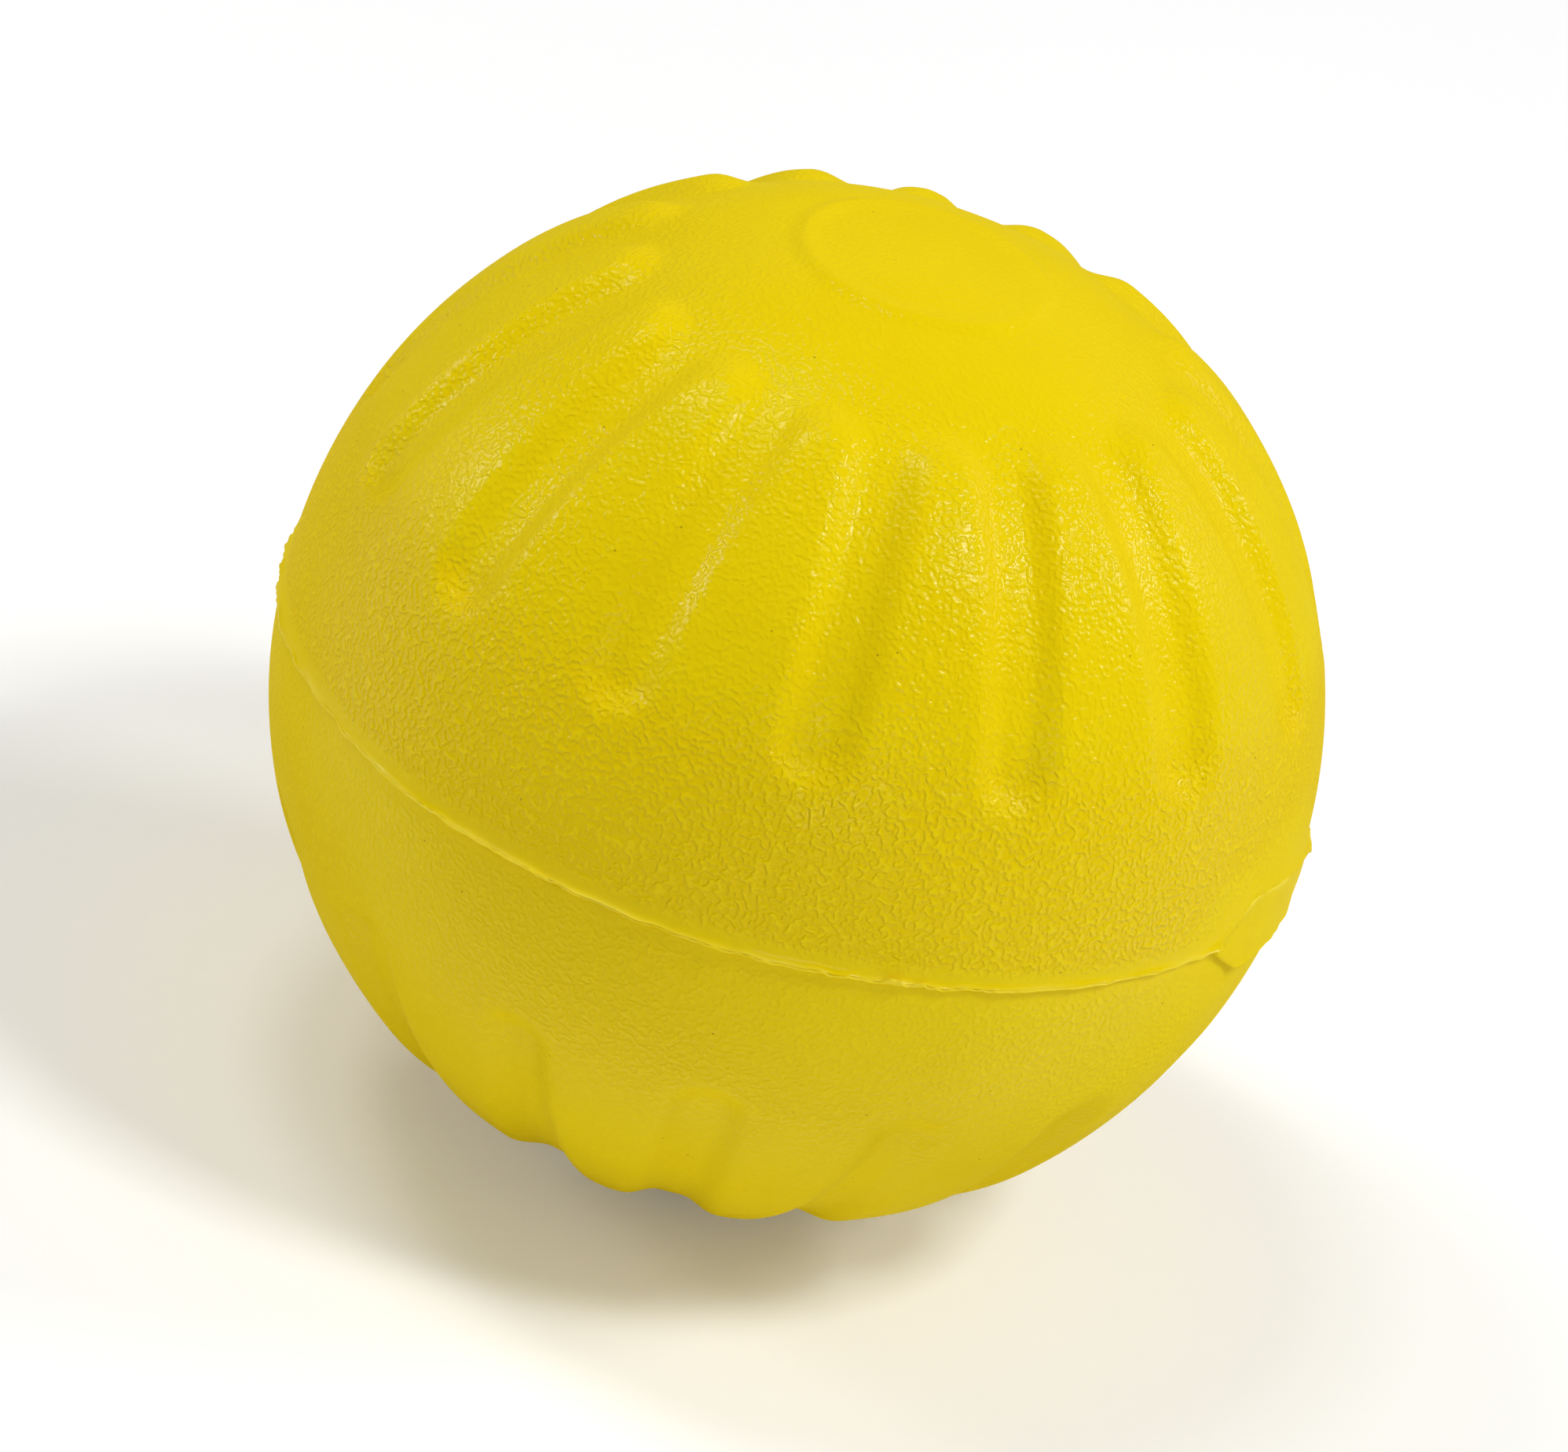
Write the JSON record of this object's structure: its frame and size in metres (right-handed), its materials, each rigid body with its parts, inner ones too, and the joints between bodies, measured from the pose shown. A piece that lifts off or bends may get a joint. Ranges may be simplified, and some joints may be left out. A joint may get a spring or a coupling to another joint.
{
  "type": "foam ball",
  "caption": "Round moulded foam ball with a grained skin, finger grooves that run down from a sunken cap on each half, a moulding seam and a trimmed gate.",
  "frame": {"origin": "centre of the ball, in the plane of the moulding seam", "axes": "+Z through the middle of the upper polar cap, square to the seam; +X through the gate stub"},
  "size_m": [0.0898, 0.0896, 0.0864],
  "materials": {
    "foam_skin": "satin yellow foam skin with a fine leather-like mould grain",
    "seam_flash": "smooth thin foam flash",
    "cut_foam": "trimmed foam, slightly duller than the skin",
    "foam_core": "matt closed-cell foam"
  },
  "bodies": {
    "root": {"foam_core": "foam_core", "upper_skin": "foam_skin", "lower_skin": "foam_skin", "seam_flash": "seam_flash", "gate_stub": "cut_foam"}
  },
  "joints": []
}
